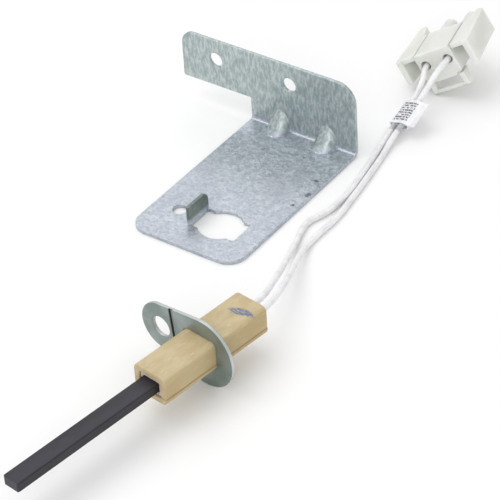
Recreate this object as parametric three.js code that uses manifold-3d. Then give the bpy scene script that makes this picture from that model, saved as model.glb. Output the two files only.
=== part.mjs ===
// A hot-surface ignition electrode with its steel mounting bracket.
// A silicon-nitride element sits in a ceramic block with a steel flange round its middle.
// Two insulated leads run from the block to a two-way nylon connector, and a bracket lies beside them.
// Millimetres, +Z up. +Y runs from the element's tip along the block. The origin is under the middle
// of the igniter and the bracket, on the surface that they lie on.
import * as THREE from "three";
import { mergeVertices } from "three/addons/utils/BufferGeometryUtils.js";
import Module from "manifold-3d";

const wasm = await Module();
wasm.setup();

// ---- Driving dimensions ----
const SHEET = 0.9; // steel sheet of the flange and the bracket
const FIT = 0.1; // gap between pieces that the real object cements or presses together

const block = { width: 9.1, height: 7.3, length: 31, corner: 1.4, wall: 1.5, frontPocket: 9, rearPocket: 12 };
const pocketCorner = 0.7;
const slotCorner = 0.3;
const partingLine = { below: 1.9, ledge: 0.08 };
const element = { width: 4.45, thickness: 2.4, corner: 0.35, exposed: 39.2, chamfer: 0.35, tailInside: 22.4 };
const cementRecess = { front: 0.45, rear: 0.3 };

const flange = {
  front: 15,
  disc: { x: 0.9, z: -0.7, radius: 8.3 },
  ear: { x: -11.5, z: 0.1, radius: 5.75, hole: 2.5 },
  crease: { x: -7.6, lean: 0.11, width: 1, depth: 0.45 },
};
const axisHeight = flange.disc.radius - flange.disc.z; // the flange stands on the surface

const lead = { radius: 0.7, sides: 8, pitch: 2.85, offset: -0.05, start: 28.6 };
const splice = { outer: 1.15, bore: 0.55, front: 24.6, rear: 28.3 };
const nickelWire = { radius: 0.35, overlap: 3.2, channel: 0.5 };

const bracket = {
  width: 30,
  length: 51,
  wallHeight: 19.65,
  armReach: 19.8,
  armBottom: 6.75,
  bendInside: 0.8,
  frontCorner: 4.6,
  armCorner: 3.4,
  wallCorner: 5,
  yaw: THREE.MathUtils.degToRad(8.15),
  centre: [-39.75, 70.45],
};
const cutout = { x: 18.4, y: 11.1, width: 12.1, height: 7.2, radius: 5.35, corner: 0.5 };
const screwHole = { x: 6.9, y: 11.1, radius: 1.75 };
const wallHoles = { x: [-9.9, 11.4], z: 14.15, radius: 1.9 };
const gusset = { x: [8.4, 21.8], reach: 4.4, rise: 5.2, radius: 2.85 };
const tab = { y: [7.5, 15], height: 5.6, nearCorner: 0.4, farCorner: 1.9 };

const connector = {
  place: [-31.6, 128, 12.6],
  yaw: THREE.MathUtils.degToRad(20.7),
  roll: THREE.MathUtils.degToRad(-30.3),
  frontWidth: 21.2,
  farWidth: 18.5,
  height: 6.6,
  depth: 16,
  bodyDepth: 11.3,
  bodyHalf: 5.2,
  bodyHeight: 7.4,
  keelHalf: 3.1,
  keelHeight: 8.2,
  keelFlare: 0.6,
  edge: 0.4,
  pitch: 6.35,
  siloRadius: 1.85,
  siloEnd: 19.5,
  entryRadius: 1.25,
};
const ear = { web: 1.3, leaf: 1.8, setBack: 0.4, footRun: 1.6, footRise: 2.4, corner: 0.6 };
const strap = {
  half: 5.2,
  leg: 1.4,
  depth: 3.4,
  footDepth: 1.8,
  barTop: 10.4,
  bottom: 11.5,
  barDepth: 1.3,
  gap: 0.4,
  corner: 0.4,
};
const contact = { barrel: 1.15, barrelLength: 4, pin: 0.9, pinEnd: 18.4, bore: 1.3, front: 4.6 };

const tag = {
  along: 7.4,
  flag: 2.4,
  leaf: 0.25,
  wrap: { halfWide: 2.65, halfHigh: 1.3, corner: 1.1, neck: 0.6, meet: 1 },
  place: [-27.5, 114.3, 3.3],
  pitch: 0.33,
  roll: -0.38,
  yaw: 0.11,
};

// ---- Materials, one for each finish ----
const finish = (name, color, roughness, metalness) =>
  new THREE.MeshStandardMaterial({ name, color, roughness, metalness });
const steatite = finish("steatite", 0xcdb893, 0.75, 0);
const nitride = finish("silicon_nitride", 0x3a3940, 0.45, 0.1);
const cement = finish("cement", 0xb9a6a0, 0.95, 0);
const zincSteel = finish("zinc_steel", 0x8b9694, 0.4, 0.9);
const galvanised = finish("galvanised", 0xb4bcc4, 0.42, 0.9);
const nickel = finish("nickel", 0xb7b2a6, 0.35, 1);
const tinned = finish("tinned_brass", 0xc9c3ae, 0.3, 1);
const insulation = finish("white_insulation", 0xe9e9ea, 0.55, 0);
const nylon = finish("natural_nylon", 0xe3e4de, 0.45, 0);
const paper = finish("white_label", 0xf2f2f4, 0.6, 0);

// ---- Solids: three.js makes every shape, manifold-3d joins and cuts them ----
function solid(geometry) {
  const bare = geometry.index ? geometry.toNonIndexed() : geometry.clone();
  bare.deleteAttribute("normal");
  bare.deleteAttribute("uv");
  const merged = mergeVertices(bare, 1e-4);
  return new wasm.Manifold(
    new wasm.Mesh({
      numProp: 3,
      vertProperties: new Float32Array(merged.attributes.position.array),
      triVerts: new Uint32Array(merged.index.array),
    }),
  );
}

function piece(name, body, material) {
  const data = body.getMesh();
  const geometry = new THREE.BufferGeometry();
  geometry.setAttribute("position", new THREE.BufferAttribute(data.vertProperties, 3));
  geometry.setIndex(new THREE.BufferAttribute(data.triVerts, 1));
  geometry.computeVertexNormals();
  const mesh = new THREE.Mesh(geometry, material);
  mesh.name = name;
  return mesh;
}

const join = (first, ...rest) => rest.reduce((sum, next) => sum.add(next), first);
const cut = (first, ...rest) => rest.reduce((left, next) => left.subtract(next), first);

function extruded(shape, depth, curveSegments = 6) {
  return new THREE.ExtrudeGeometry(shape, { depth, bevelEnabled: false, curveSegments });
}

// A shape drawn in X and Z, extruded along Y from y0 to y1.
function alongY(shape, y0, y1, curveSegments) {
  return solid(extruded(shape, y1 - y0, curveSegments).rotateX(Math.PI / 2).translate(0, y1, 0));
}

// A shape drawn in Y and Z, extruded along X from x0 to x1.
function alongX(shape, x0, x1, curveSegments) {
  const geometry = extruded(shape, x1 - x0, curveSegments);
  return solid(geometry.rotateX(Math.PI / 2).rotateZ(Math.PI / 2).translate(x0, 0, 0));
}

// A shape drawn in X and Y, extruded along Z from z0 to z1.
function alongZ(shape, z0, z1, curveSegments) {
  return solid(extruded(shape, z1 - z0, curveSegments).translate(0, 0, z0));
}

// A box from its lowest and highest corners.
function boxed([x0, y0, z0], [x1, y1, z1]) {
  const geometry = new THREE.BoxGeometry(x1 - x0, y1 - y0, z1 - z0);
  return solid(geometry.translate((x0 + x1) / 2, (y0 + y1) / 2, (z0 + z1) / 2));
}

// A round bar along Y.
function barY(radius, y0, y1, x = 0, z = 0, sides = 20) {
  const geometry = new THREE.CylinderGeometry(radius, radius, y1 - y0, sides);
  return solid(geometry.translate(x, (y0 + y1) / 2, z));
}

// A round bar along Z.
function barZ(radius, z0, z1, x, y, sides = 24) {
  const geometry = new THREE.CylinderGeometry(radius, radius, z1 - z0, sides).rotateX(Math.PI / 2);
  return solid(geometry.translate(x, y, (z0 + z1) / 2));
}

function roundedRectangle(width, height, radius) {
  const [x, y] = [width / 2, height / 2];
  const shape = new THREE.Shape();
  shape.absarc(x - radius, y - radius, radius, 0, Math.PI / 2);
  shape.absarc(radius - x, y - radius, radius, Math.PI / 2, Math.PI);
  shape.absarc(radius - x, radius - y, radius, Math.PI, 1.5 * Math.PI);
  shape.absarc(x - radius, radius - y, radius, 1.5 * Math.PI, 2 * Math.PI);
  shape.closePath();
  return shape;
}

function polygon(points) {
  return new THREE.Shape(points.map(([x, y]) => new THREE.Vector2(x, y)));
}

// A polygon whose corners are rounded, each point being [x, y, radius].
function softPolygon(points, stepsPerCorner = 5) {
  const outline = [];
  points.forEach(([x, y, radius = 0], i) => {
    const corner = new THREE.Vector2(x, y);
    if (!radius) {
      outline.push(corner);
      return;
    }
    const last = points.at(i - 1);
    const next = points[(i + 1) % points.length];
    const back = new THREE.Vector2(last[0] - x, last[1] - y).normalize();
    const ahead = new THREE.Vector2(next[0] - x, next[1] - y).normalize();
    const half = Math.acos(back.dot(ahead)) / 2;
    const run = radius / Math.tan(half);
    const centre = back.clone().add(ahead).normalize().multiplyScalar(radius / Math.sin(half)).add(corner);
    const from = back.multiplyScalar(run).add(corner).sub(centre);
    const to = ahead.multiplyScalar(run).add(corner).sub(centre);
    const sweep = Math.atan2(from.cross(to), from.dot(to));
    for (let k = 0; k <= stepsPerCorner; k += 1) {
      outline.push(from.clone().rotateAround(new THREE.Vector2(), (sweep * k) / stepsPerCorner).add(centre));
    }
  });
  return new THREE.Shape(outline);
}

// The outline round two circles and the two straight lines that touch both.
function teardrop(small, large) {
  const run = new THREE.Vector2(large.x - small.x, large.z - small.z);
  const heading = run.angle();
  const spread = Math.acos((small.radius - large.radius) / run.length());
  const shape = new THREE.Shape();
  shape.absarc(small.x, small.z, small.radius, heading + spread, heading - spread + 2 * Math.PI);
  shape.absarc(large.x, large.z, large.radius, heading - spread, heading + spread);
  shape.closePath();
  return shape;
}

// A tube of a few flat sides along a smooth curve through the points.
function tube(points, radius, sides, steps) {
  const curve = new THREE.CatmullRomCurve3(points.map((p) => new THREE.Vector3(...p)), false, "centripetal");
  const section = new THREE.Shape();
  section.absarc(0, 0, radius, 0, 2 * Math.PI);
  const geometry = new THREE.ExtrudeGeometry(section, {
    steps,
    extrudePath: curve,
    bevelEnabled: false,
    curveSegments: sides,
  });
  return solid(geometry);
}

// ---- Igniter: its own frame has Y = 0 at the block's front face and Z = 0 on the axis ----
const pocket = { width: block.width - 2 * block.wall, height: block.height - 2 * block.wall };
const rearPocketFront = block.length - block.rearPocket;
const leadX = [lead.offset - lead.pitch / 2, lead.offset + lead.pitch / 2];

function ceramicBlock() {
  const upper = alongY(roundedRectangle(block.width, block.height, block.corner), 0, block.length);
  const halfWide = block.width / 2 + partingLine.ledge;
  const low = -block.height / 2;
  const lower = alongY(
    softPolygon([
      [-halfWide, -partingLine.below, 0],
      [-halfWide, low, block.corner],
      [halfWide, low, block.corner],
      [halfWide, -partingLine.below, 0],
    ]),
    0,
    block.length,
  );
  const hollow = roundedRectangle(pocket.width, pocket.height, pocketCorner);
  const slot = roundedRectangle(element.width + 4 * FIT, element.thickness + 4 * FIT, slotCorner);
  return cut(
    join(upper, lower),
    alongY(hollow, -1, block.frontPocket, 3),
    alongY(slot, block.frontPocket - 1, rearPocketFront + 1, 2),
    alongY(hollow, rearPocketFront, block.length + 1, 3),
  );
}

function nitrideElement() {
  const bar = roundedRectangle(element.width, element.thickness, element.corner);
  const tip = -element.exposed;
  const x = element.width / 2;
  const c = element.chamfer;
  const plan = polygon([
    [-x + c, tip],
    [x - c, tip],
    [x, tip + c],
    [x, element.tailInside],
    [-x, element.tailInside],
    [-x, tip + c],
  ]);
  const z = element.thickness;
  return alongY(bar, tip - 1, element.tailInside, 3).intersect(alongZ(plan, -z, z));
}

function frontCement() {
  const outer = roundedRectangle(pocket.width - 2 * FIT, pocket.height - 2 * FIT, pocketCorner - FIT);
  const inner = roundedRectangle(element.width + 2 * FIT, element.thickness + 2 * FIT, slotCorner);
  const deep = block.frontPocket - FIT;
  return cut(alongY(outer, cementRecess.front, deep, 3), alongY(inner, -1, deep + 1, 2));
}

function rearCement() {
  const outer = roundedRectangle(pocket.width - 2 * FIT, pocket.height - 2 * FIT, pocketCorner - FIT);
  const front = element.tailInside + 4 * FIT;
  const rear = block.length - cementRecess.rear;
  const half = nickelWire.channel;
  const channels = leadX.flatMap((x) => [
    boxed([x - half, front - 1, 0], [x + half, splice.front + 1, element.thickness / 2 + 2 * half]),
    barY(splice.outer + FIT, front - 1, splice.rear + FIT, x),
    barY(lead.radius + FIT, front, rear + 1, x),
  ]);
  return cut(alongY(outer, front, rear, 3), ...channels);
}

// The strip's dark stamped crease runs across the ear, leaning a little from upright.
function locatingFlange() {
  const { disc, ear, crease } = flange;
  const front = flange.front;
  const rear = front + SHEET;
  const plate = alongY(teardrop(ear, disc), front, rear, 28);
  const opening = roundedRectangle(
    block.width + 2 * (partingLine.ledge + FIT),
    block.height + 2 * FIT,
    block.corner,
  );
  const groove = alongZ(
    polygon([
      [-crease.width / 2, -1],
      [crease.width / 2, -1],
      [crease.width / 2, 0],
      [0, crease.depth],
      [-crease.width / 2, 0],
    ]),
    -ear.radius * 2,
    ear.radius * 2,
  )
    .rotate([0, -THREE.MathUtils.radToDeg(crease.lean), 0])
    .translate([crease.x, front, 0]);
  return cut(
    plate,
    alongY(opening, front - 1, rear + 1),
    barY(ear.hole, front - 1, rear + 1, ear.x, ear.z, 28),
    groove,
  );
}

// Each nickel wire is brazed on the element's top face and bends down into its splice.
function nickelLead(x) {
  const top = element.thickness / 2 + nickelWire.radius + FIT;
  const tail = element.tailInside;
  const run = [
    [x, tail - nickelWire.overlap, top],
    [x, tail - nickelWire.overlap / 2, top],
    [x, tail - 0.3, top],
    [x, splice.front - 1.4, top / 2],
    [x, splice.front - 0.5, 0.02],
    [x, splice.front + 0.5, 0],
    [x, splice.front + 1.8, 0],
  ];
  return tube(run, nickelWire.radius, 8, 14);
}

function crimpSplice(x) {
  const { outer, bore, front, rear } = splice;
  return cut(barY(outer, front, rear, x, 0, 16), barY(bore, front - 1, rear + 1, x, 0, 12));
}

// ---- Leads: from the splices down to the surface, along it, and up to the connector ----
const leadRoutes = {
  lead_wire_left: [
    [leadX[0], lead.start, 9],
    [leadX[0], 31.6, 9],
    [-1.8, 34.8, 8.7],
    [-3.1, 38.9, 8.0],
    [-5.7, 44.0, 6.7],
    [-9.1, 50.1, 4.6],
    [-12.9, 56.3, 2.5],
    [-16.1, 61.9, 1.0],
    [-18.3, 66.3, 0.8],
    [-19.4, 69.2, 0.8],
    [-19.5, 71.4, 0.8],
    [-19.1, 73.6, 0.8],
    [-18.8, 76.6, 0.8],
    [-19.2, 80.8, 0.8],
    [-20.3, 86.0, 0.8],
    [-22.5, 92.8, 0.8],
    [-25.0, 99.9, 0.8],
    [-27.2, 106.3, 1.3],
    [-28.3, 111.3, 2.1],
    [-29.0, 115.8, 3.1],
    [-29.6, 120.3, 4.8],
    [-30.7, 124.2, 6.9],
    [-32.0, 126.5, 7.9],
    [-33.0, 128.8, 8.1],
    [-34.0, 131.6, 8.1],
  ],
  lead_wire_right: [
    [leadX[1], lead.start, 9],
    [leadX[1], 31.6, 9],
    [0.9, 34.9, 8.7],
    [-0.8, 39.7, 7.9],
    [-3.6, 45.4, 6.6],
    [-7.3, 51.6, 4.6],
    [-11.1, 57.9, 2.5],
    [-13.8, 63.8, 1.0],
    [-14.8, 69.1, 0.8],
    [-15.3, 73.5, 0.8],
    [-16.2, 77.8, 0.8],
    [-17.6, 82.5, 0.8],
    [-19.4, 88.5, 0.8],
    [-21.4, 94.6, 0.8],
    [-23.5, 100.9, 0.8],
    [-25.4, 106.6, 1.6],
    [-26.2, 111.5, 2.9],
    [-26.6, 115.6, 4.3],
    [-27.0, 119.4, 6.0],
    [-27.2, 122.6, 8.0],
    [-27.1, 125.6, 10.2],
    [-27.1, 128.2, 11.2],
    [-27.8, 130.6, 11.3],
    [-28.9, 133.5, 11.3],
  ],
};
const leadSteps = 36;

// A folded flag label: one strip that wraps both leads and is stuck to itself.
function identificationTag() {
  const { leaf, along, wrap } = tag;
  const flagEnd = wrap.halfWide + tag.flag;
  const neckAt = wrap.halfWide - wrap.neck;
  const meetAt = wrap.halfWide + wrap.meet;
  const outside = softPolygon([
    [-wrap.halfWide, -wrap.halfHigh, wrap.corner],
    [neckAt, -wrap.halfHigh, 2 * leaf],
    [meetAt, -leaf],
    [flagEnd, -leaf],
    [flagEnd, leaf],
    [meetAt, leaf],
    [neckAt, wrap.halfHigh, 2 * leaf],
    [-wrap.halfWide, wrap.halfHigh, wrap.corner],
  ]);
  const inside = softPolygon([
    [leaf - wrap.halfWide, leaf - wrap.halfHigh, wrap.corner - leaf],
    [neckAt - leaf / 2, leaf - wrap.halfHigh, leaf],
    [meetAt - 3 * leaf, 0],
    [neckAt - leaf / 2, wrap.halfHigh - leaf, leaf],
    [leaf - wrap.halfWide, wrap.halfHigh - leaf, wrap.corner - leaf],
  ]);
  return cut(alongY(outside, -along / 2, along / 2), alongY(inside, -along, along));
}

// ---- Connector: X to the right, Y away from the leads, Z = 0 on the top face ----
const entryZ = -connector.height / 2;
const entryX = [-connector.pitch / 2, connector.pitch / 2];
const taper = (connector.frontWidth - connector.farWidth) / 2 / connector.depth;

function connectorHousing() {
  const c = connector;
  const body = alongY(
    softPolygon([
      [-c.bodyHalf, 0, c.edge],
      [-c.bodyHalf, -c.bodyHeight, c.edge],
      [-c.keelHalf - c.keelFlare, -c.bodyHeight],
      [-c.keelHalf, -c.keelHeight, c.edge],
      [c.keelHalf, -c.keelHeight, c.edge],
      [c.keelHalf + c.keelFlare, -c.bodyHeight],
      [c.bodyHalf, -c.bodyHeight, c.edge],
      [c.bodyHalf, 0, c.edge],
    ], 3),
    0,
    c.bodyDepth,
  );
  const silos = entryX.map((x) => barY(c.siloRadius, c.bodyDepth - 1, c.siloEnd, x, entryZ, 20));
  const holes = entryX.flatMap((x) => [
    barY(c.entryRadius, -1, contact.front, x, entryZ, 16),
    barY(contact.bore, contact.front - 4 * FIT, c.siloEnd + 1, x, entryZ, 16),
  ]);
  return cut(join(body, ...silos), ...holes);
}

// Each panel ear is a thin web level with the top face and a leaf down its outer edge.
function panelEar(side) {
  const c = connector;
  const root = c.bodyHalf + 2 * FIT;
  const outerFront = c.frontWidth / 2;
  const outerAt = (y) => outerFront - taper * y;
  const innerAt = (y) => outerAt(y) - ear.leaf;
  const web = polygon([
    [root, ear.setBack],
    [innerAt(0) + ear.leaf / 2, ear.setBack],
    [innerAt(c.bodyDepth) + ear.leaf / 2, c.bodyDepth - ear.setBack],
    [root, c.bodyDepth - ear.setBack],
  ]);
  const leaf = softPolygon([
    [innerAt(0), 0, ear.corner / 2],
    [outerAt(0), 0, ear.corner],
    [outerAt(c.depth), c.depth, ear.corner],
    [innerAt(c.depth), c.depth, ear.corner],
    [innerAt(c.bodyDepth) - ear.footRun, c.bodyDepth],
    [innerAt(c.bodyDepth), c.bodyDepth - ear.footRise],
  ], 4);
  const shape = join(alongZ(web, -ear.web, 0), alongZ(leaf, -c.height, 0));
  return side > 0 ? shape : shape.mirror([1, 0, 0]);
}

// The latch strap is a loop below the keel, whose legs flex where they meet the housing.
function connectorLatch() {
  const { half, leg, depth, footDepth, barTop, bottom, barDepth, gap, corner } = strap;
  const top = connector.bodyHeight + gap;
  const legShape = softPolygon([
    [0, -top],
    [depth, -top],
    [footDepth, -bottom, corner],
    [0, -bottom, corner],
  ], 3);
  const barBounds = boxed([leg / 2 - half, -1, -bottom - 1], [half - leg / 2, barDepth, -barTop]);
  const bar = alongX(legShape, -half, half).intersect(barBounds);
  return join(alongX(legShape, -half, -half + leg), alongX(legShape, half - leg, half), bar);
}

// Each crimp contact has a barrel behind the lead's end and a pin out to the silo's mouth.
function crimpContact(x) {
  const { barrel, barrelLength, front, pin, pinEnd } = contact;
  return join(
    barY(barrel, front, front + barrelLength, x, entryZ, 16),
    barY(pin, front + barrelLength - 0.5, pinEnd, x, entryZ, 16),
  );
}

// ---- Bracket: X across, Y from the front edge to the wall, Z up from its underside ----
function bracketPlate() {
  const { width, length, frontCorner: corner, bendInside } = bracket;
  const bendStart = length - SHEET - bendInside;
  const outline = softPolygon([
    [0, 0, corner],
    [width, 0, corner],
    [width, bendStart],
    [0, bendStart],
  ], 8);
  const [halfWide, halfLong] = [cutout.width / 2, cutout.height / 2];
  const rectangle = softPolygon([
    [-halfWide, -halfLong],
    [halfWide, -halfLong, cutout.corner],
    [halfWide, halfLong, cutout.corner],
    [-halfWide, halfLong],
  ], 3);
  const opening = join(alongZ(rectangle, -1, 2), barZ(cutout.radius, -1, 2, 0, 0, 40));
  return cut(
    alongZ(outline, 0, SHEET),
    opening.translate([cutout.x, cutout.y, 0]),
    barZ(screwHole.radius, -1, 2, screwHole.x, screwHole.y),
  );
}

function bracketBend() {
  const { width, length, bendInside } = bracket;
  const outer = bendInside + SHEET;
  const [y, z] = [length - outer, outer];
  const arc = new THREE.Shape();
  arc.absarc(y, z, outer, -Math.PI / 2, 0, false);
  arc.absarc(y, z, bendInside, 0, -Math.PI / 2, true);
  arc.closePath();
  return alongX(arc, 0, width, 6);
}

function bracketWall() {
  const { width, length, wallHeight, armReach, armBottom, armCorner, wallCorner, bendInside } = bracket;
  const low = SHEET + bendInside;
  const outline = softPolygon([
    [0, low],
    [width, low],
    [width, wallHeight, wallCorner],
    [-armReach, wallHeight, armCorner],
    [-armReach, armBottom, 0.6],
    [0, armBottom],
  ], 7);
  const holes = wallHoles.x.map((x) =>
    barY(wallHoles.radius, length - 2, length + 1, x, wallHoles.z, 24),
  );
  return cut(alongY(outline, length - SHEET, length), ...holes);
}

// A round bar that slants across the inside of the bend, its crest running from the foot on the plate to
// the head on the wall, filled out towards the bend's outer corner.
function slantedRib(x, radius) {
  const slope = Math.atan2(gusset.rise, gusset.reach);
  const half = gusset.reach + gusset.rise;
  const axisY = bracket.length - SHEET - gusset.reach / 2 + gusset.radius * Math.sin(slope);
  const axisZ = SHEET + gusset.rise / 2 - gusset.radius * Math.cos(slope);
  const bar = barY(radius, -half, half, 0, 0, 28).rotate([THREE.MathUtils.radToDeg(slope), 0, 0]);
  const near = bar.translate([x, axisY, axisZ]);
  const far = near.translate([0, half * Math.sin(slope), -half * Math.cos(slope)]);
  return wasm.Manifold.hull([near, far]);
}

// Each gusset is pressed out of the sheet, so it's hollow behind and one sheet thick.
function pressedGussets() {
  const { length } = bracket;
  const bounds = boxed([0, 0, SHEET / 2], [bracket.width, length - SHEET / 2, bracket.wallHeight]);
  return {
    ribs: gusset.x.map((x) => slantedRib(x, gusset.radius).intersect(bounds)),
    hollows: gusset.x.map((x) => slantedRib(x, gusset.radius - SHEET)),
  };
}

function bracketTab() {
  const right = cutout.x - cutout.width / 2;
  const [near, far] = tab.y;
  const outline = softPolygon([
    [near, 0],
    [far, 0],
    [far, tab.height, tab.farCorner],
    [near, tab.height, tab.nearCorner],
  ]);
  return alongX(outline, right - SHEET, right);
}

function mountingBracket() {
  const { ribs, hollows } = pressedGussets();
  return cut(join(bracketPlate(), bracketBend(), bracketWall(), bracketTab(), ...ribs), ...hollows);
}

// ---- Assembly ----
const igniter = new THREE.Group();
igniter.position.z = axisHeight;
igniter.add(
  piece("ceramic_block", ceramicBlock(), steatite),
  piece("nitride_element", nitrideElement(), nitride),
  piece("front_cement", frontCement(), cement),
  piece("rear_cement", rearCement(), cement),
  piece("locating_flange", locatingFlange(), zincSteel),
);
["left", "right"].forEach((side, i) => {
  igniter.add(piece(`nickel_lead_${side}`, nickelLead(leadX[i]), nickel));
  igniter.add(piece(`crimp_splice_${side}`, crimpSplice(leadX[i]), nickel));
});

const bracketGroup = new THREE.Group();
bracketGroup.rotation.z = bracket.yaw;
const middle = new THREE.Vector3(bracket.width / 2, bracket.length / 2, 0);
middle.applyEuler(bracketGroup.rotation);
bracketGroup.position.set(bracket.centre[0] - middle.x, bracket.centre[1] - middle.y, 0);
bracketGroup.add(piece("mounting_bracket", mountingBracket(), galvanised));

const cords = new THREE.Group();
for (const [name, route] of Object.entries(leadRoutes)) {
  cords.add(piece(name, tube(route, lead.radius, lead.sides, leadSteps), insulation));
}

const tagMesh = piece("identification_tag", identificationTag(), paper);
tagMesh.position.set(...tag.place);
tagMesh.rotation.set(tag.pitch, tag.roll, tag.yaw, "ZXY");
cords.add(tagMesh);

const connectorGroup = new THREE.Group();
connectorGroup.position.set(...connector.place);
connectorGroup.rotation.set(0, connector.roll, connector.yaw, "ZXY");
connectorGroup.add(
  piece("connector_housing", connectorHousing(), nylon),
  piece("connector_latch", connectorLatch(), nylon),
  piece("panel_ear_left", panelEar(-1), nylon),
  piece("panel_ear_right", panelEar(1), nylon),
  piece("crimp_contact_left", crimpContact(entryX[0]), tinned),
  piece("crimp_contact_right", crimpContact(entryX[1]), tinned),
);
cords.add(connectorGroup);

// The origin is under the middle of the igniter and the bracket, without the leads and connector.
const group = new THREE.Group();
group.add(igniter, bracketGroup, cords);
group.updateMatrixWorld(true);
const span = new THREE.Box3().setFromObject(igniter).union(new THREE.Box3().setFromObject(bracketGroup));
const centre = span.getCenter(new THREE.Vector3());
for (const child of group.children) {
  child.position.x -= centre.x;
  child.position.y -= centre.y;
  child.position.z -= span.min.z;
}

export default group;
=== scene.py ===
"""The looks of a hot-surface ignition electrode, its loose bracket, its leads and its connector.

Blender units are metres, +Z up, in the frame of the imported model. Sizes are in millimetres and scaled by
MM, apart from the leads, the lights, the floor, the camera's clipping and the mesh tolerances, which are in
metres. The igniter, the bracket, the tag and the connector each have a frame of their own, which their
materials use, so that grain and marks lie along the piece.
"""
import math

import bmesh
import bpy
from mathutils import Euler, Matrix, Vector


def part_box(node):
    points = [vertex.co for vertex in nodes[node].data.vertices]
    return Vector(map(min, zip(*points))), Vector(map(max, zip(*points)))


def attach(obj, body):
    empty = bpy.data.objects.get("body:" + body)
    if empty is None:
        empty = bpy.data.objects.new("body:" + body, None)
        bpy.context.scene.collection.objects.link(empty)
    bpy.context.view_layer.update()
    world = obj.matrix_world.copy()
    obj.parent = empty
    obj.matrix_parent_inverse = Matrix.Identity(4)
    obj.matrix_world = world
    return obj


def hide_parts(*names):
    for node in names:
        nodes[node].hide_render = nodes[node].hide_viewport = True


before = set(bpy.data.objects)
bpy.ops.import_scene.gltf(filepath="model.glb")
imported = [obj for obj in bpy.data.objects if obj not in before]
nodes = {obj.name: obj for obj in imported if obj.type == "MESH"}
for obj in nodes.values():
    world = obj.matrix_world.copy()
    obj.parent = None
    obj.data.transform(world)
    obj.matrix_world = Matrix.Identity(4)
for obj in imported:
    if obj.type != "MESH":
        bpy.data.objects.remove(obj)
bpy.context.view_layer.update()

MM = 0.001

# ---- Frames of the sub-parts, in millimetres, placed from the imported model's ceramic block ----
block_low, block_high = (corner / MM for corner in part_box("ceramic_block"))
shift = Vector(((block_low.x + block_high.x) / 2, block_low.y, 0))
axis_height = (block_low.z + block_high.z) / 2

bracket_yaw = math.radians(8.15)
bracket_middle = Vector((-39.75, 70.45, 0)) + shift
plate_width, plate_length = 30, 51
connector_place = Vector((-31.6, 128, 12.6)) + shift
connector_turn = Euler((0, math.radians(-30.3), math.radians(20.7)), "YXZ")
tag_place = Vector((-27.5, 114.3, 3.3)) + shift
tag_turn = Euler((0.33, -0.38, 0.11), "YXZ")

igniter_frame = Matrix.Translation(shift + Vector((0, 0, axis_height)))
bracket_frame = (
    Matrix.Translation(bracket_middle)
    @ Matrix.Rotation(bracket_yaw, 4, "Z")
    @ Matrix.Translation((-plate_width / 2, -plate_length / 2, 0))
)
connector_frame = Matrix.Translation(connector_place) @ connector_turn.to_matrix().to_4x4()
tag_frame = Matrix.Translation(tag_place) @ tag_turn.to_matrix().to_4x4()


# ---- Camera: a long lens, looking down from the front right at the middle of the bracket ----
def make_camera():
    azimuth = math.radians(45.354)
    elevation = math.radians(37.511)
    roll = math.radians(-3.732)
    distance = 599.56
    aside = 1.22
    above = -13.70
    focal_length = 185.26
    sensor_width = 36
    back = Vector((
        math.sin(azimuth) * math.cos(elevation),
        -math.cos(azimuth) * math.cos(elevation),
        math.sin(elevation),
    ))
    level = Vector((math.cos(azimuth), math.sin(azimuth), 0))
    upright = back.cross(level)
    right = math.cos(roll) * level + math.sin(roll) * upright
    up = math.cos(roll) * upright - math.sin(roll) * level
    data = bpy.data.cameras.new("camera")
    data.lens = focal_length
    data.sensor_width = sensor_width
    data.clip_start = 0.05
    data.clip_end = 20
    camera = bpy.data.objects.new("camera", data)
    place = (bracket_middle + distance * back + aside * right + above * up) * MM
    turn = Matrix((right, up, back)).transposed().to_4x4()
    camera.matrix_world = Matrix.Translation(place) @ turn
    bpy.context.scene.collection.objects.link(camera)
    bpy.context.scene.camera = camera


# ---- Materials ----
def tint(red, green, blue):
    """A colour given as display values from 0 to 255, as the linear colour that a shader takes."""
    return tuple((c / 255) ** 2.2 for c in (red, green, blue)) + (1,)


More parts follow.
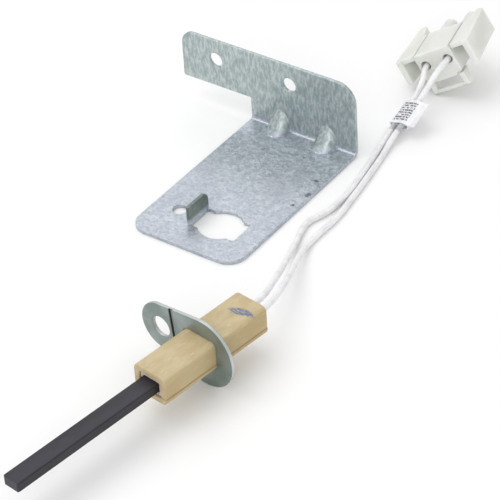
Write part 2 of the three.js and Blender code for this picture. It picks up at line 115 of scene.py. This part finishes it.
class Surface:
    """A procedural material. Its textures use the piece's own millimetres, kept in the attribute 'local'."""

    def __init__(self, name, roughness=0.5, metallic=0.0):
        self.material = bpy.data.materials.new(name)
        self.material.use_nodes = True
        self.tree = self.material.node_tree
        self.shader = self.tree.nodes["Principled BSDF"]
        self.shader.inputs["Roughness"].default_value = roughness
        self.shader.inputs["Metallic"].default_value = metallic
        local = self.tree.nodes.new("ShaderNodeAttribute")
        local.attribute_name = "local"
        self.local = local.outputs["Vector"]

    def link(self, source, socket):
        self.tree.links.new(source, self.shader.inputs[socket] if isinstance(socket, str) else socket)

    def stretched(self, scale, offset=(0, 0, 0)):
        """The local coordinates, moved by offset and then scaled by axis."""
        node = self.tree.nodes.new("ShaderNodeVectorMath")
        node.operation = "MULTIPLY_ADD"
        self.link(self.local, node.inputs[0])
        node.inputs[1].default_value = scale
        node.inputs[2].default_value = tuple(s * o for s, o in zip(scale, offset))
        return node.outputs["Vector"]

    def noise(self, scale, detail=3, roughness=0.5, offset=(0, 0, 0)):
        """Noise with `scale` waves in a millimetre, one number or one for each axis."""
        node = self.tree.nodes.new("ShaderNodeTexNoise")
        by_axis = scale if isinstance(scale, tuple) else (scale,) * 3
        self.link(self.stretched(by_axis, offset), node.inputs["Vector"])
        node.inputs["Scale"].default_value = 1
        node.inputs["Detail"].default_value = detail
        node.inputs["Roughness"].default_value = roughness
        return node.outputs[0]

    def cells(self, scale, seed=0):
        """A random value from 0 to 1 for each crystal cell."""
        node = self.tree.nodes.new("ShaderNodeTexVoronoi")
        self.link(self.stretched((scale,) * 3, (seed, 0, 0)), node.inputs["Vector"])
        node.inputs["Scale"].default_value = 1
        split = self.tree.nodes.new("ShaderNodeSeparateColor")
        self.link(node.outputs["Color"], split.inputs[0])
        return split.outputs[0]

    def steps(self, value, low, high, to_low=0.0, to_high=1.0):
        """value mapped from low..high to to_low..to_high, held at the ends."""
        node = self.tree.nodes.new("ShaderNodeMapRange")
        node.interpolation_type = "SMOOTHSTEP"
        self.link(value, node.inputs["Value"])
        for socket, number in zip(("From Min", "From Max", "To Min", "To Max"), (low, high, to_low, to_high)):
            node.inputs[socket].default_value = number
        return node.outputs["Result"]

    def math(self, operation, first, second=None):
        node = self.tree.nodes.new("ShaderNodeMath")
        node.operation = operation
        for socket, value in zip(node.inputs, (first, second)):
            if isinstance(value, (int, float)):
                socket.default_value = value
            elif value is not None:
                self.link(value, socket)
        return node.outputs[0]

    def axis(self, name):
        node = self.tree.nodes.new("ShaderNodeSeparateXYZ")
        self.link(self.local, node.inputs[0])
        return node.outputs[name]

    def mix(self, factor, low, high):
        """A colour from low at factor 0 to high at factor 1. Each colour is a tint or a socket."""
        node = self.tree.nodes.new("ShaderNodeMix")
        node.data_type = "RGBA"
        self.link(factor, node.inputs["Factor"])
        for socket, colour in ((node.inputs[6], low), (node.inputs[7], high)):
            if isinstance(colour, tuple):
                socket.default_value = colour
            else:
                self.link(colour, socket)
        return node.outputs[2]

    def spot(self, centre, radii, ragged=0.35, turn=0.0):
        """1 inside a soft-edged, slightly ragged ellipsoid and 0 outside it, turned about Z by turn."""
        centred = self.tree.nodes.new("ShaderNodeMapping")
        centred.vector_type = "TEXTURE"
        self.link(self.local, centred.inputs["Vector"])
        centred.inputs["Location"].default_value = centre
        centred.inputs["Rotation"].default_value = (0, 0, turn)
        centred.inputs["Scale"].default_value = radii
        length = self.tree.nodes.new("ShaderNodeVectorMath")
        length.operation = "LENGTH"
        self.link(centred.outputs["Vector"], length.inputs[0])
        edge = self.math("MULTIPLY", self.math("SUBTRACT", self.noise(2.2, 4), 0.5), 2 * ragged)
        return self.steps(self.math("ADD", length.outputs["Value"], edge), 1.0, 0.55)

    def bump(self, height, strength, distance):
        """Bump whose height is in units of `distance` millimetres."""
        node = self.tree.nodes.new("ShaderNodeBump")
        node.inputs["Strength"].default_value = strength
        node.inputs["Distance"].default_value = distance * MM
        self.link(height, node.inputs["Height"])
        self.link(node.outputs["Normal"], "Normal")


def steatite():
    """Pressed, unglazed steatite: warm cream, faintly mottled, with a blue batch stroke near the rear and
    painted shade on its side faces.
    """
    side_faces = (4.1, 4.5)
    parting_drop = 1.9
    stroke_centre = (1.5, 26.3, 3.6)
    stroke_radii = (3.6, 1.35, 2.5)
    s = Surface("steatite", 0.62)
    mottle = s.steps(s.noise((0.30, 0.12, 0.30), 4, 0.6), 0.34, 0.68)
    colour = s.mix(mottle, tint(199, 182, 145), tint(186, 167, 127))
    speckle = s.steps(s.noise(5.5, 2), 0.66, 0.76)
    colour = s.mix(speckle, colour, tint(172, 150, 112))
    rub = s.steps(s.noise((1.6, 0.25, 1.6), 3, offset=(9, 4, 2)), 0.60, 0.74)
    colour = s.mix(rub, colour, tint(212, 198, 166))
    # Painted shade: the side faces are darkened towards a shaded tan, since less light falls on them than on
    # the top.
    painted_side_shade = s.steps(s.math("ABSOLUTE", s.axis("X")), *side_faces)
    colour = s.mix(s.math("MULTIPLY", painted_side_shade, 0.45), colour, tint(170, 148, 102))
    from_line = s.math("ABSOLUTE", s.math("ADD", s.axis("Z"), parting_drop))
    line = s.math("MULTIPLY", s.steps(from_line, 0.30, 0.10), 0.5)
    colour = s.mix(line, colour, tint(146, 118, 80))
    stroke = s.spot(stroke_centre, stroke_radii, 0.45, 0.28)
    broken = s.steps(s.noise((0.5, 2.4, 0.5), 2, offset=(1, 6, 0)), 0.36, 0.50)
    stroke = s.math("MULTIPLY", stroke, broken)
    colour = s.mix(s.math("MULTIPLY", stroke, 0.85), colour, tint(78, 104, 148))
    s.link(colour, "Base Color")
    s.link(s.steps(mottle, 0, 1, 0.56, 0.70), "Roughness")
    s.bump(s.math("ADD", s.noise(4.5, 4, 0.65), s.math("MULTIPLY", s.noise(0.9, 2), 1.5)), 0.35, 0.06)
    return s.material


def silicon_nitride():
    """Ground silicon nitride: near black with a violet cast, fine grinding lines along its length, and
    painted shade on its side faces.
    """
    side_faces = (2.05, 2.2)
    s = Surface("silicon_nitride", 0.42)
    lines = s.noise((7, 0.22, 7), 4, 0.6)
    clouds = s.noise((0.35, 0.10, 0.35), 3)
    colour = s.mix(s.steps(clouds, 0.35, 0.65), tint(34, 33, 39), tint(45, 43, 53))
    colour = s.mix(s.steps(lines, 0.58, 0.74), colour, tint(60, 58, 68))
    # Painted shade: the side faces are darkened, since less light falls on them than on the top.
    painted_side_shade = s.steps(s.math("ABSOLUTE", s.axis("X")), *side_faces)
    s.link(s.mix(s.math("MULTIPLY", painted_side_shade, 0.6), colour, tint(22, 21, 26)), "Base Color")
    s.link(s.steps(lines, 0.3, 0.7, 0.36, 0.52), "Roughness")
    s.bump(lines, 0.25, 0.02)
    return s.material


def cement():
    """Set ceramic cement: pinkish grey, granular, with open pores."""
    s = Surface("cement", 0.9)
    grain = s.noise(3.2, 5, 0.7)
    pores = s.steps(s.noise(1.8, 2, offset=(3, 1, 7)), 0.60, 0.68)
    colour = s.mix(s.steps(grain, 0.35, 0.65), tint(200, 180, 172), tint(226, 210, 203))
    s.link(s.mix(pores, colour, tint(120, 104, 96)), "Base Color")
    s.bump(s.math("SUBTRACT", grain, pores), 0.7, 0.15)
    return s.material


def zinc_steel():
    """Dull zinc-plated sheet: greenish grey and rolled, with a dark line of painted shade in its creased
    groove and a painted highlight along its sheared edge.
    """
    front_face = 15
    rear_face = 15.9
    rim_from = 0.04
    rim_to = 0.16
    crease_lean = 0.11
    crease_aside = 7.6
    s = Surface("zinc_steel", 0.42, 0.75)
    rolled = s.noise((0.5, 3, 6), 4, 0.6)
    clouds = s.noise(0.22, 3, 0.5, (5, 0, 3))
    colour = s.mix(s.steps(clouds, 0.35, 0.65), tint(128, 141, 137), tint(150, 160, 157))
    colour = s.mix(s.steps(rolled, 0.55, 0.78), colour, tint(164, 172, 170))
    # Painted shade: a near-black line along the creased groove, on the front side only, standing in for the
    # shade inside the groove.
    lean = s.math("MULTIPLY", s.axis("Z"), crease_lean)
    from_crease = s.math("ABSOLUTE", s.math("ADD", s.math("ADD", s.axis("X"), lean), crease_aside))
    front_side = s.steps(s.axis("Y"), front_face + 0.5, front_face + 0.2)
    painted_crease_shade = s.math("MULTIPLY", s.steps(from_crease, 0.75, 0.35), front_side)
    # Painted highlight: the sheared edge face between the front and rear faces is lightened as if it caught
    # the light.
    behind_front = s.steps(s.axis("Y"), front_face + rim_from, front_face + rim_to)
    before_rear = s.steps(s.axis("Y"), rear_face - rim_from, rear_face - rim_to)
    painted_rim_highlight = s.math("MULTIPLY", behind_front, before_rear)
    colour = s.mix(s.math("MULTIPLY", painted_rim_highlight, 0.8), colour, tint(206, 210, 210))
    s.link(s.mix(painted_crease_shade, colour, tint(40, 46, 46)), "Base Color")
    s.link(s.steps(rolled, 0.3, 0.7, 0.36, 0.50), "Roughness")
    s.bump(rolled, 0.12, 0.03)
    return s.material


def galvanised():
    """Galvanised sheet: fine spangle of mixed greys, rolling lines, a few dark spots by one edge, and painted
    shade on its upright wall and its tab.
    """
    above_plate = (1.2, 2.6)
    tab_to_wall = (22, 18)
    spots = (
        ((27.8, 36.4, 0.9), (0.9, 0.6, 1)),
        ((29.2, 30.8, 0.9), (0.8, 1.3, 1)),
        ((28.4, 25.8, 0.9), (0.6, 0.7, 1)),
    )
    s = Surface("galvanised", 0.42, 0.8)
    spangle = s.math("ADD", s.math("MULTIPLY", s.cells(1.5), 0.6), s.math("MULTIPLY", s.cells(3.6, 4), 0.4))
    clouds = s.steps(s.noise((0.10, 0.05, 0.10), 3), 0.35, 0.68)
    colour = s.mix(spangle, tint(154, 163, 174), tint(216, 221, 228))
    colour = s.mix(s.math("MULTIPLY", clouds, 0.35), colour, tint(166, 170, 180))
    upright = s.steps(s.axis("Z"), *above_plate)
    streaks = s.steps(s.noise((1.5, 1.5, 0.45), 4, 0.65, (7, 2, 5)), 0.36, 0.66)
    # Painted shade: the upright wall takes a darker, greener copy of the sheet's colour; its streaks are the
    # sheet's own grain.
    shaded_streaked_wall = s.mix(streaks, tint(140, 158, 152), tint(200, 211, 206))
    colour = s.mix(s.math("MULTIPLY", upright, 0.7), colour, shaded_streaked_wall)
    # Painted shade: the tab's face is darkened to a dark green, standing in for the shade and dark
    # reflections it shows.
    painted_tab_shade = s.math("MULTIPLY", upright, s.steps(s.axis("Y"), *tab_to_wall))
    colour = s.mix(s.math("MULTIPLY", painted_tab_shade, 0.75), colour, tint(92, 106, 98))
    flecks = s.steps(s.noise(2.6, 3, 0.6, (2, 8, 1)), 0.62, 0.72)
    colour = s.mix(s.math("MULTIPLY", flecks, 0.35), colour, tint(150, 160, 164))
    for centre, radii in spots:
        colour = s.mix(s.math("MULTIPLY", s.spot(centre, radii, 0.6), 0.75), colour, tint(84, 92, 104))
    s.link(colour, "Base Color")
    s.link(s.steps(spangle, 0.1, 0.9, 0.34, 0.52), "Roughness")
    s.bump(s.math("ADD", spangle, s.noise(6, 3)), 0.12, 0.03)
    return s.material


def metal(name, low, high, roughness):
    """A small plain metal piece, drawn along Y."""
    s = Surface(name, roughness, 0.95)
    drawn = s.noise((5, 0.8, 5), 3)
    s.link(s.mix(s.steps(drawn, 0.35, 0.65), low, high), "Base Color")
    s.link(s.steps(drawn, 0.3, 0.7, roughness - 0.06, roughness + 0.08), "Roughness")
    s.bump(drawn, 0.1, 0.02)
    return s.material


def insulation():
    """White sleeving with a faint weave, handling marks and two grey patches of painted shadow just before
    the tag.
    """
    tag_shadow_centres = ((-27.9, 109.6, -7.1), (-25.8, 109.7, -6.6))
    tag_shadow_radii = (1.6, 1.3, 1.6)
    s = Surface("white_insulation", 0.5)
    weave = s.noise(3.4, 2)
    handled = s.steps(s.noise(0.35, 4, 0.6), 0.40, 0.70)
    colour = s.mix(handled, tint(240, 240, 241), tint(224, 224, 227))
    colour = s.mix(s.steps(weave, 0.60, 0.75), colour, tint(208, 208, 212))
    # Painted shadow: grey patches on each lead where the tag's lower end shades it.
    for centre in tag_shadow_centres:
        painted_tag_shadow = s.math("MULTIPLY", s.spot(centre, tag_shadow_radii, 0.6), 0.55)
        colour = s.mix(painted_tag_shadow, colour, tint(120, 120, 124))
    s.link(colour, "Base Color")
    s.bump(weave, 0.3, 0.05)
    return s.material


def nylon():
    """Moulded natural nylon: milky, faintly green-grey in its thick parts, with a fine texture."""
    s = Surface("natural_nylon", 0.42)
    flow = s.steps(s.noise((0.25, 0.10, 0.25), 3), 0.35, 0.68)
    s.link(s.mix(flow, tint(226, 227, 223), tint(218, 220, 212)), "Base Color")
    s.shader.inputs["Subsurface Weight"].default_value = 0.6
    s.shader.inputs["Subsurface Radius"].default_value = (2.6 * MM, 2.6 * MM, 2.2 * MM)
    s.shader.inputs["Subsurface Scale"].default_value = 1
    s.link(s.steps(s.noise(1.4, 3), 0.3, 0.7, 0.36, 0.50), "Roughness")
    s.bump(s.noise(5, 3), 0.15, 0.03)
    return s.material


def label():
    """White label film with a printed block of short, meaningless dashes."""
    rows_per_mm = 1.35
    print_middle = 0.5
    s = Surface("white_label", 0.38)
    rows = s.math("FRACT", s.math("MULTIPLY", s.axis("Y"), rows_per_mm))
    in_row = s.steps(s.math("ABSOLUTE", s.math("SUBTRACT", rows, 0.5)), 0.40, 0.30)
    dashes = s.steps(s.noise((3.2, rows_per_mm, 0.01), 1, offset=(4, 3, 0)), 0.40, 0.46)
    across = s.steps(s.math("ABSOLUTE", s.math("SUBTRACT", s.axis("X"), print_middle)), 2.2, 2.05)
    along = s.steps(s.math("ABSOLUTE", s.axis("Y")), 3.15, 3.0)
    top_side = s.steps(s.axis("Z"), 0.10, 0.14)
    print_area = s.math("MULTIPLY", s.math("MULTIPLY", across, along), top_side)
    ink = s.math("MULTIPLY", s.math("MULTIPLY", in_row, dashes), print_area)
    paper = s.mix(s.steps(s.noise(0.6, 3), 0.35, 0.65), tint(242, 242, 245), tint(230, 230, 235))
    s.link(s.mix(s.math("MULTIPLY", ink, 0.85), paper, tint(62, 60, 74)), "Base Color")
    s.bump(s.noise(1.1, 3), 0.2, 0.05)
    return s.material


# ---- Pieces ----
WELD_DISTANCE = 2e-6  # vertices closer than this are joined
CUT_DISTANCE = 1e-6  # a vertex this near a cutting plane lies on it
FLAT_WITHIN = math.radians(0.6)  # neighbouring faces that differ by less are merged
SQUARE_TO_LENGTH = 0.99  # least cosine between local Y and the normal of an end face
HARD_SHADING = math.radians(50)  # edges sharper than this are shaded as hard


def keep_local(obj, place):
    """Stores each vertex's place in the sub-part's own frame, in millimetres, for the materials."""
    inverse = place.inverted()
    attribute = obj.data.attributes.new("local", "FLOAT_VECTOR", "POINT")
    for value, vertex in zip(attribute.data, obj.data.vertices):
        value.vector = inverse @ (vertex.co / MM)


def refined(node, body, material, place, bevel=0.15, sharp=28, segments=3, cuts=(), ends_only=False):
    """Replaces a CAD node by a copy of it with flat faces merged and its edges rounded by `bevel` mm.

    `cuts` are planes in the sub-part's frame, each (axis, millimetres), which split the flat faces through
    the middle of their holes, so that each face has one plain outline. With ends_only, just the edges of
    the faces square to local Y are rounded. Edges sharper than `sharp` degrees are rounded.
    """
    mesh = nodes[node].data.copy()
    mesh.materials.clear()
    work = bmesh.new()
    work.from_mesh(mesh)
    bmesh.ops.remove_doubles(work, verts=work.verts, dist=WELD_DISTANCE)
    for axis, at in cuts:
        normal = Vector([float(axis == k) for k in range(3)])
        cut = bmesh.ops.bisect_plane(
            work, geom=[*work.verts, *work.edges, *work.faces], dist=CUT_DISTANCE,
            plane_co=place @ (at * normal) * MM, plane_no=place.to_3x3() @ normal,
        )
        for item in cut["geom_cut"]:
            if isinstance(item, bmesh.types.BMEdge):
                item.seam = True
    bmesh.ops.dissolve_limit(
        work, angle_limit=FLAT_WITHIN, verts=work.verts, edges=work.edges, delimit={"SEAM"},
    )
    length_axis = (place.to_3x3() @ Vector((0, 1, 0))).normalized()
    corners = [
        e for e in work.edges
        if e.is_manifold and e.calc_face_angle(0) > math.radians(sharp)
        and (not ends_only or max(abs(f.normal.dot(length_axis)) for f in e.link_faces) > SQUARE_TO_LENGTH)
    ]
    bmesh.ops.bevel(
        work, geom=corners, offset=bevel * MM, offset_type="OFFSET", segments=segments,
        profile=0.5, affect="EDGES", clamp_overlap=False, miter_outer="ARC",
    )
    bmesh.ops.triangulate(work, faces=[f for f in work.faces if len(f.verts) > 4])
    work.to_mesh(mesh)
    work.free()
    for face in mesh.polygons:
        face.use_smooth = True
    mesh.set_sharp_from_angle(angle=HARD_SHADING)
    piece = bpy.data.objects.new(node + "_detail", mesh)
    bpy.context.scene.collection.objects.link(piece)
    piece.data.materials.append(material)
    keep_local(piece, place)
    weighted = piece.modifiers.new("even_shading", "WEIGHTED_NORMAL")
    weighted.keep_sharp = True
    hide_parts(node)
    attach(piece, body)
    return piece


# ---- Leads: the route's points in metres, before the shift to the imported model's origin ----
LEAD_DIAMETER = 0.0014
LEAD_X = (-0.001475, 0.001375)
LEAD_ROUTES = {
    "lead_wire_left": [
        (LEAD_X[0], 0.0286, 0.0090), (LEAD_X[0], 0.0316, 0.0090), (-0.0018, 0.0348, 0.0087),
        (-0.0031, 0.0389, 0.0080), (-0.0057, 0.0440, 0.0067), (-0.0091, 0.0501, 0.0046),
        (-0.0129, 0.0563, 0.0025), (-0.0161, 0.0619, 0.0010), (-0.0183, 0.0663, 0.0008),
        (-0.0194, 0.0692, 0.0008), (-0.0195, 0.0714, 0.0008), (-0.0191, 0.0736, 0.0008),
        (-0.0188, 0.0766, 0.0008), (-0.0192, 0.0808, 0.0008), (-0.0203, 0.0860, 0.0008),
        (-0.0225, 0.0928, 0.0008), (-0.0250, 0.0999, 0.0008), (-0.0272, 0.1063, 0.0013),
        (-0.0283, 0.1113, 0.0021), (-0.0290, 0.1158, 0.0031), (-0.0296, 0.1203, 0.0048),
        (-0.0307, 0.1242, 0.0069), (-0.0320, 0.1265, 0.0079), (-0.0330, 0.1288, 0.0081),
        (-0.0340, 0.1316, 0.0081),
    ],
    "lead_wire_right": [
        (LEAD_X[1], 0.0286, 0.0090), (LEAD_X[1], 0.0316, 0.0090), (0.0009, 0.0349, 0.0087),
        (-0.0008, 0.0397, 0.0079), (-0.0036, 0.0454, 0.0066), (-0.0073, 0.0516, 0.0046),
        (-0.0111, 0.0579, 0.0025), (-0.0138, 0.0638, 0.0010), (-0.0148, 0.0691, 0.0008),
        (-0.0153, 0.0735, 0.0008), (-0.0162, 0.0778, 0.0008), (-0.0176, 0.0825, 0.0008),
        (-0.0194, 0.0885, 0.0008), (-0.0214, 0.0946, 0.0008), (-0.0235, 0.1009, 0.0008),
        (-0.0254, 0.1066, 0.0016), (-0.0262, 0.1115, 0.0029), (-0.0266, 0.1156, 0.0043),
        (-0.0270, 0.1194, 0.0060), (-0.0272, 0.1226, 0.0080), (-0.0271, 0.1256, 0.0102),
        (-0.0271, 0.1282, 0.0112), (-0.0278, 0.1306, 0.0113), (-0.0289, 0.1335, 0.0113),
    ],
}


def smooth_route(points, steps=8):
    """Points along the centripetal Catmull-Rom curve through the given ones."""
    padded = [2 * points[0] - points[1], *points, 2 * points[-1] - points[-2]]
    line = [points[0]]
    for p0, p1, p2, p3 in zip(padded, padded[1:], padded[2:], padded[3:]):
        gaps = [max((b - a).length, 1e-9) ** 0.5 for a, b in ((p0, p1), (p1, p2), (p2, p3))]
        slope_in = ((p1 - p0) / gaps[0] - (p2 - p0) / (gaps[0] + gaps[1]) + (p2 - p1) / gaps[1]) * gaps[1]
        slope_out = ((p2 - p1) / gaps[1] - (p3 - p1) / (gaps[1] + gaps[2]) + (p3 - p2) / gaps[2]) * gaps[1]
        for k in range(1, steps + 1):
            t = k / steps
            line.append(
                (2 * t**3 - 3 * t**2 + 1) * p1 + (t**3 - 2 * t**2 + t) * slope_in
                + (3 * t**2 - 2 * t**3) * p2 + (t**3 - t**2) * slope_out
            )
    return line


def round_tube(name, line, radius, sides=20):
    """A closed round tube along a line of points, with flat ends."""
    mesh = bpy.data.meshes.new(name)
    work = bmesh.new()
    heading = (line[1] - line[0]).normalized()
    across = heading.orthogonal().normalized()
    rings = []
    for i, point in enumerate(line):
        ahead = (line[min(i + 1, len(line) - 1)] - line[max(i - 1, 0)]).normalized()
        across = (across - across.dot(ahead) * ahead).normalized()
        other = ahead.cross(across)
        angles = [2 * math.pi * k / sides for k in range(sides)]
        rings.append([
            work.verts.new(point + radius * (math.cos(a) * across + math.sin(a) * other)) for a in angles
        ])
    for low, high in zip(rings, rings[1:]):
        for k in range(sides):
            work.faces.new((low[k], low[(k + 1) % sides], high[(k + 1) % sides], high[k]))
    work.faces.new(list(reversed(rings[0])))
    work.faces.new(rings[-1])
    work.to_mesh(mesh)
    work.free()
    for face in mesh.polygons:
        face.use_smooth = len(face.vertices) == 4
    tube = bpy.data.objects.new(name, mesh)
    bpy.context.scene.collection.objects.link(tube)
    return tube


def make_leads(material):
    leads = []
    for node, route in LEAD_ROUTES.items():
        points = [Vector(p) + shift * MM for p in route]
        line = smooth_route(points)
        length = sum((b - a).length for a, b in zip(line, line[1:]))
        lead = round_tube(node.replace("wire", "sleeving"), line, LEAD_DIAMETER / 2)
        lead.data.materials.append(material)
        keep_local(lead, igniter_frame)
        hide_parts(node)
        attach(lead, "igniter")
        leads.append((lead, points[0], length, line))
    return leads


make_camera()
leads = make_leads(insulation())

# ---- The igniter, its bracket, its tag and its connector ----
ceramic = steatite()
refined(
    "ceramic_block", "igniter", ceramic, igniter_frame,
    0.30, segments=4, cuts=[(0, 0)], ends_only=True,
)
refined("nitride_element", "igniter", silicon_nitride(), igniter_frame, 0.12)
cement_material = cement()
for plug in ("front_cement", "rear_cement"):
    refined(plug, "igniter", cement_material, igniter_frame, 0.08, segments=2, cuts=[(0, 0)])
refined("locating_flange", "igniter", zinc_steel(), igniter_frame, 0.12, cuts=[(2, 0.1)])
cutout_middle = (1, 11.1)
wall_holes_middle = (2, 14.15)
refined(
    "mounting_bracket", "bracket", galvanised(), bracket_frame,
    0.12, cuts=[cutout_middle, wall_holes_middle],
)

nickel = metal("nickel", tint(178, 174, 162), tint(204, 200, 190), 0.34)
for side in ("left", "right"):
    refined(f"nickel_lead_{side}", "igniter", nickel, igniter_frame, 0.03, 60, 1)
    refined(f"crimp_splice_{side}", "igniter", nickel, igniter_frame, 0.08, 50, 2)

nylon_material = nylon()
tinned = metal("tinned_brass", tint(196, 190, 170), tint(222, 216, 198), 0.30)
connector_bodies = {
    "connector_housing": "igniter", "connector_latch": "latch",
    "panel_ear_left": "ear_left", "panel_ear_right": "ear_right",
}
connector_pieces = [
    refined(node, body, nylon_material, connector_frame, 0.22)
    for node, body in connector_bodies.items()
]
for side in ("left", "right"):
    connector_pieces.append(
        refined(f"crimp_contact_{side}", "igniter", tinned, connector_frame, 0.08, 50, 2)
    )
tag_piece = refined("identification_tag", "igniter", label(), tag_frame, 0.05, 28, 2)


# ---- Floor and studio light ----
def make_floor():
    half = 3.0
    just_below = 0.05 * MM
    mesh = bpy.data.meshes.new("floor")
    corners = [(x, y, 0) for x, y in ((-half, -half), (half, -half), (half, half), (-half, half))]
    mesh.from_pydata(corners, [], [(0, 1, 2, 3)])
    floor = bpy.data.objects.new("floor", mesh)
    floor.location.z = -just_below
    bpy.context.scene.collection.objects.link(floor)
    paint = bpy.data.materials.new("floor")
    paint.use_nodes = True
    shader = paint.node_tree.nodes["Principled BSDF"]
    shader.inputs["Roughness"].default_value = 0.9
    shader.inputs["Specular IOR Level"].default_value = 0.1
    shader.inputs["Base Color"].default_value = (0.93, 0.93, 0.93, 1)
    mesh.materials.append(paint)


def softbox(name, place, target, size, power):
    """A square area light at place, facing target. The places and the size are in metres."""
    data = bpy.data.lights.new(name, "AREA")
    data.shape = "SQUARE"
    data.size = size
    data.energy = power
    lamp = bpy.data.objects.new(name, data)
    lamp.location = place
    lamp.rotation_euler = (Vector(target) - Vector(place)).to_track_quat("-Z", "Y").to_euler()
    bpy.context.scene.collection.objects.link(lamp)


def make_light():
    world = bpy.data.worlds.new("studio")
    world.use_nodes = True
    tree = world.node_tree
    backdrop = tree.nodes["Background"]
    where = tree.nodes.new("ShaderNodeTexCoord")
    split = tree.nodes.new("ShaderNodeSeparateXYZ")
    ramp = tree.nodes.new("ShaderNodeMapRange")
    tree.links.new(where.outputs["Generated"], split.inputs[0])
    tree.links.new(split.outputs["Z"], ramp.inputs["Value"])
    for socket, number in zip(("From Min", "From Max", "To Min", "To Max"), (-0.1, 0.9, 0.62, 0.95)):
        ramp.inputs[socket].default_value = number
    tree.links.new(ramp.outputs["Result"], backdrop.inputs["Color"])
    backdrop.inputs["Strength"].default_value = 0.86
    bpy.context.scene.world = world
    softbox("key", (-0.35, -0.10, 0.80), (0, 0.02, 0), 0.7, 2.6)
    softbox("back", (-0.55, 0.75, 0.60), (0, 0.03, 0), 0.6, 0.8)
    softbox("fill", (0.50, -0.55, 0.30), (0, 0.03, 0), 0.7, 1.9)


make_floor()
make_light()
bpy.context.scene.view_settings.view_transform = "Standard"
